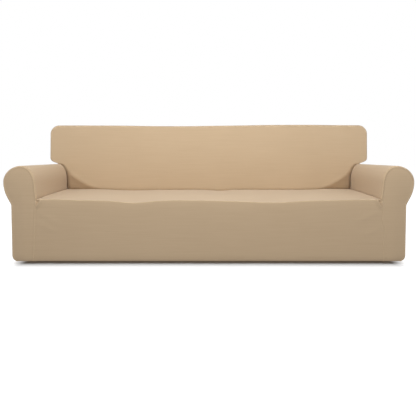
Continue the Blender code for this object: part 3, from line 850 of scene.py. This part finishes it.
def mesh_object(name, points, faces, cloth):
    """Mesh object of quads, smooth, with its cloth coordinates as a UV map in metres."""
    mesh = bpy.data.meshes.new(name)
    mesh.vertices.add(len(points))
    mesh.vertices.foreach_set("co", points.astype(np.float32).ravel())
    mesh.loops.add(faces.size)
    mesh.loops.foreach_set("vertex_index", faces.astype(np.int32).ravel())
    mesh.polygons.add(len(faces))
    mesh.polygons.foreach_set("loop_start", np.arange(0, faces.size, 4, dtype=np.int32))
    mesh.update(calc_edges=True)
    mesh.shade_smooth()
    mesh.set_sharp_from_angle(angle=math.radians(70.0))
    layer = mesh.uv_layers.new(name="cloth")
    layer.data.foreach_set("uv", cloth[faces.ravel()].astype(np.float32).ravel())
    obj = bpy.data.objects.new(name, mesh)
    bpy.context.scene.collection.objects.link(obj)
    return obj


# ------------------------------------------------------------------ finishes


def linear(colour):
    """Linear RGBA of a colour given as #RRGGBB in sRGB."""
    parts = [int(colour[i : i + 2], 16) / 255.0 for i in (1, 3, 5)]
    return (*(c / 12.92 if c <= 0.04045 else ((c + 0.055) / 1.055) ** 2.4 for c in parts), 1.0)


def node(tree, kind, settings=(), inputs=(), links=()):
    """Adds a node with its settings, socket values and links from (node, output) to sockets."""
    made = tree.nodes.new(kind)
    for name, value in dict(settings).items():
        setattr(made, name, value)
    for name, value in dict(inputs).items():
        made.inputs[name].default_value = value
    for name, (source, output) in dict(links).items():
        tree.links.new(source.outputs[output], made.inputs[name])
    return made


def ribbed_jersey(finish):
    """Polyester and elastane jersey, ribbed and slightly slubbed: matt, with a soft pale fuzz.

    The slubs give faint level streaks. The ribs are too fine to show from the front and
    only roughen the surface there.
    """
    name = "ribbed_jersey"
    if name in bpy.data.materials:
        return bpy.data.materials[name]
    material = bpy.data.materials.new(name)
    material.use_nodes = True
    tree = material.node_tree
    shader = tree.nodes["Principled BSDF"]
    shader.inputs["Roughness"].default_value = finish.roughness
    shader.inputs["Specular IOR Level"].default_value = finish.gloss
    shader.inputs["Sheen Weight"].default_value = finish.sheen
    shader.inputs["Sheen Roughness"].default_value = finish.sheen_spread
    cloth = node(tree, "ShaderNodeUVMap", {"uv_map": "cloth"})
    streak_scale = (1.0 / (40.0 * finish.streak_height), 1.0 / finish.streak_height, 1.0)
    streak_place = node(
        tree, "ShaderNodeMapping", inputs={"Scale": streak_scale}, links={"Vector": (cloth, "UV")}
    )
    streaks = node(
        tree,
        "ShaderNodeTexNoise",
        inputs={"Scale": 1.0, "Detail": 2.0, "Roughness": 0.6},
        links={"Vector": (streak_place, "Vector")},
    )
    patches = node(
        tree,
        "ShaderNodeTexNoise",
        inputs={"Scale": 3.0, "Detail": 2.0},
        links={"Vector": (cloth, "UV")},
    )
    both = node(
        tree,
        "ShaderNodeMix",
        {"data_type": "FLOAT"},
        {"Factor": 0.35},
        {"A": (streaks, "Fac"), "B": (patches, "Fac")},
    )
    tones = node(tree, "ShaderNodeValToRGB", links={"Fac": (both, "Result")})
    tones.color_ramp.elements[0].position = 0.35
    tones.color_ramp.elements[0].color = linear(finish.colour)
    tones.color_ramp.elements[1].position = 0.65
    tones.color_ramp.elements[1].color = linear(finish.light_colour)
    tree.links.new(tones.outputs["Color"], shader.inputs["Base Color"])
    rib_scale = (1.0 / finish.rib_pitch, 0.5 / finish.rib_pitch, 1.0)
    rib_place = node(
        tree, "ShaderNodeMapping", inputs={"Scale": rib_scale}, links={"Vector": (cloth, "UV")}
    )
    ribs = node(
        tree,
        "ShaderNodeTexNoise",
        inputs={"Scale": 1.0, "Detail": 1.0},
        links={"Vector": (rib_place, "Vector")},
    )
    relief = node(
        tree,
        "ShaderNodeMath",
        {"operation": "ADD"},
        links={0: (ribs, "Fac"), 1: (streaks, "Fac")},
    )
    bump = node(
        tree,
        "ShaderNodeBump",
        inputs={"Strength": 0.12, "Distance": 0.0006},
        links={"Height": (relief, "Value")},
    )
    tree.links.new(bump.outputs["Normal"], shader.inputs["Normal"])
    return material


def glowing_floor_with_painted_shadow(studio):
    """Matt pale grey floor with a painted white glow, left out under the cover to paint its shadow
    there.

    The painted glow grows from 0 at the painted shadow's edge to full at SHADOW_PAINT_FADE outside
    it.
    """
    material = bpy.data.materials.new("floor_acrylic")
    material.use_nodes = True
    tree = material.node_tree
    shader = tree.nodes["Principled BSDF"]
    shader.inputs["Base Color"].default_value = linear(studio.floor_colour)
    shader.inputs["Roughness"].default_value = 0.9
    shader.inputs["Specular IOR Level"].default_value = 0.1
    shader.inputs["Emission Color"].default_value = (*WHITE, 1.0)
    place = node(tree, "ShaderNodeTexCoord")
    far = node(
        tree, "ShaderNodeVectorMath", {"operation": "ABSOLUTE"}, links={0: (place, "Object")}
    )
    out = node(
        tree,
        "ShaderNodeVectorMath",
        {"operation": "SUBTRACT"},
        {1: (*SHADOW_PAINT_FOOTPRINT, 0.0)},
        {0: (far, "Vector")},
    )
    clear = node(
        tree,
        "ShaderNodeVectorMath",
        {"operation": "MAXIMUM"},
        {1: (0.0, 0.0, 0.0)},
        {0: (out, "Vector")},
    )
    away = node(
        tree, "ShaderNodeVectorMath", {"operation": "LENGTH"}, links={0: (clear, "Vector")}
    )
    # Painted glow: 0 under the cover, which paints its shadow, rising to full outside it
    glow = node(
        tree,
        "ShaderNodeMapRange",
        inputs={"From Max": SHADOW_PAINT_FADE, "To Max": studio.painted_floor_glow},
        links={"Value": (away, "Value")},
    )
    tree.links.new(glow.outputs["Result"], shader.inputs["Emission Strength"])
    return material


def surround(studio):
    """Plain surround: full white to the camera, and only studio.sky strong as light."""
    world = bpy.data.worlds.new("studio_surround")
    world.use_nodes = True
    tree = world.node_tree
    background = tree.nodes["Background"]
    background.inputs["Color"].default_value = (*WHITE, 1.0)
    ray = node(tree, "ShaderNodeLightPath")
    strength = node(
        tree,
        "ShaderNodeMapRange",
        inputs={"To Min": studio.sky, "To Max": 1.0},
        links={"Value": (ray, "Is Camera Ray")},
    )
    tree.links.new(strength.outputs["Result"], background.inputs["Strength"])
    return world


def softbox(name, place, size, power, colour=WHITE):
    """Area light at a place, turned to the middle of the cover."""
    light = bpy.data.lights.new(name, "AREA")
    light.shape = "RECTANGLE"
    light.size, light.size_y = size
    light.energy = power
    light.color = colour
    box = bpy.data.objects.new(name, light)
    box.location = place
    way = Vector((0.0, 0.0, SEAT_HEIGHT)) - box.location
    box.rotation_euler = way.to_track_quat("-Z", "Y").to_euler()
    bpy.context.scene.collection.objects.link(box)


# ------------------------------------------------------------------ operators

# Cut size of each panel as (width, length) and the area of its shape
Cut = namedtuple("Cut", "width length area")


def sew(context, names):
    """Makes the named panels, gives each the jersey and the root body, and hides the part of the
    same name.
    """
    settings = context.scene
    panels = sewn_panels(settings.cover_cloth)
    for name in names:
        panel = panels[name]
        points, faces = closed_sheet(panel)
        piece = mesh_object(
            name + "_cloth", points, faces, np.concatenate([panel["cloth"], panel["cloth"]])
        )
        piece.data.materials.append(ribbed_jersey(settings.cover_finish))
        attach(piece, "root")
        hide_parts(name)
    return {"FINISHED"}


class COVER_OT_seat(bpy.types.Operator):
    """Sews the seat and front in one panel"""

    bl_idname = "cover.seat_and_front"
    bl_label = "Front and seat panel"

    def execute(self, context):
        return sew(context, ("seat_and_front",))


class COVER_OT_inside_back(bpy.types.Operator):
    """Sews the inside back with its ears and top"""

    bl_idname = "cover.inside_back"
    bl_label = "Inside back"

    def execute(self, context):
        return sew(context, ("inside_back",))


class COVER_OT_outside_back(bpy.types.Operator):
    """Sews the outside back"""

    bl_idname = "cover.outside_back"
    bl_label = "Outside back"

    def execute(self, context):
        return sew(context, ("outside_back",))


class COVER_OT_arms(bpy.types.Operator):
    """Sews both arm panels"""

    bl_idname = "cover.arms"
    bl_label = "Arms"

    def execute(self, context):
        return sew(context, ("arm_left", "arm_right"))


class COVER_OT_arm_fronts(bpy.types.Operator):
    """Sews both arm fronts"""

    bl_idname = "cover.arm_fronts"
    bl_label = "Arm fronts"

    def execute(self, context):
        return sew(context, ("arm_front_left", "arm_front_right"))


class COVER_OT_studio(bpy.types.Operator):
    """Sets up the floor, the lights and the camera"""

    bl_idname = "cover.studio"
    bl_label = "Studio"

    def execute(self, context):
        scene = context.scene
        studio = scene.cover_studio
        scene.view_settings.view_transform = "Standard"
        scene.world = surround(studio)

        bpy.ops.mesh.primitive_circle_add(
            vertices=96,
            radius=studio.floor_radius,
            fill_type="NGON",
            location=(0.0, 0.0, -studio.floor_drop),
        )
        floor = context.object
        floor.name = "studio_floor"
        # The floor glows with painted light, left out under the cover as a painted shadow
        floor.data.materials.append(glowing_floor_with_painted_shadow(studio))
        floor.visible_diffuse = False

        softbox("overhead", OVERHEAD_PLACE, WIDE_BOX, studio.overhead, COOL_WHITE)
        softbox("front", FRONT_PLACE, FRONT_BOX, studio.front)
        for name, side in (("side_right", 1), ("side_left", -1)):
            softbox(name, (side * SIDE_PLACE[0], *SIDE_PLACE[1:]), SQUARE_BOX, studio.side)
        softbox("rear", REAR_PLACE, WIDE_BOX, studio.rear)

        data = bpy.data.cameras.new("camera")
        data.lens = studio.lens
        data.sensor_width = SENSOR_WIDTH
        data.shift_x, data.shift_y = CAMERA_SHIFT
        camera = bpy.data.objects.new("camera", data)
        camera.location = studio.camera_place
        camera.rotation_euler = (math.radians(90.0), 0.0, 0.0)
        scene.collection.objects.link(camera)
        scene.camera = camera
        return {"FINISHED"}


class COVER_PT_panel(bpy.types.Panel):
    """Lists the steps and their settings"""

    bl_label = "Slipcover"
    bl_idname = "COVER_PT_panel"
    bl_space_type = "VIEW_3D"
    bl_region_type = "UI"
    bl_category = "Slipcover"

    def draw(self, context):
        layout = self.layout
        for operator in OPERATORS:
            layout.operator(operator.bl_idname)
        for group in ("cover_cloth", "cover_finish", "cover_studio"):
            box = layout.box()
            settings = getattr(context.scene, group)
            for name in settings.__annotations__:
                box.prop(settings, name)


OPERATORS = (
    COVER_OT_seat,
    COVER_OT_inside_back,
    COVER_OT_outside_back,
    COVER_OT_arms,
    COVER_OT_arm_fronts,
    COVER_OT_studio,
)
GROUPS = {"cover_cloth": CoverCloth, "cover_finish": CoverFinish, "cover_studio": CoverStudio}


def register():
    """Registers the classes and puts the settings on the scene."""
    for made in (*GROUPS.values(), *OPERATORS, COVER_PT_panel):
        bpy.utils.register_class(made)
    for name, group in GROUPS.items():
        setattr(bpy.types.Scene, name, PointerProperty(type=group))


def unregister():
    """Takes the settings off the scene and the classes out again."""
    for name in GROUPS:
        delattr(bpy.types.Scene, name)
    for made in (COVER_PT_panel, *OPERATORS[::-1], *GROUPS.values()):
        bpy.utils.unregister_class(made)


def main():
    register()
    bpy.ops.cover.seat_and_front()
    bpy.ops.cover.inside_back()
    bpy.ops.cover.outside_back()
    bpy.ops.cover.arms()
    bpy.ops.cover.arm_fronts()
    bpy.ops.cover.studio()


if __name__ == "__main__":
    main()
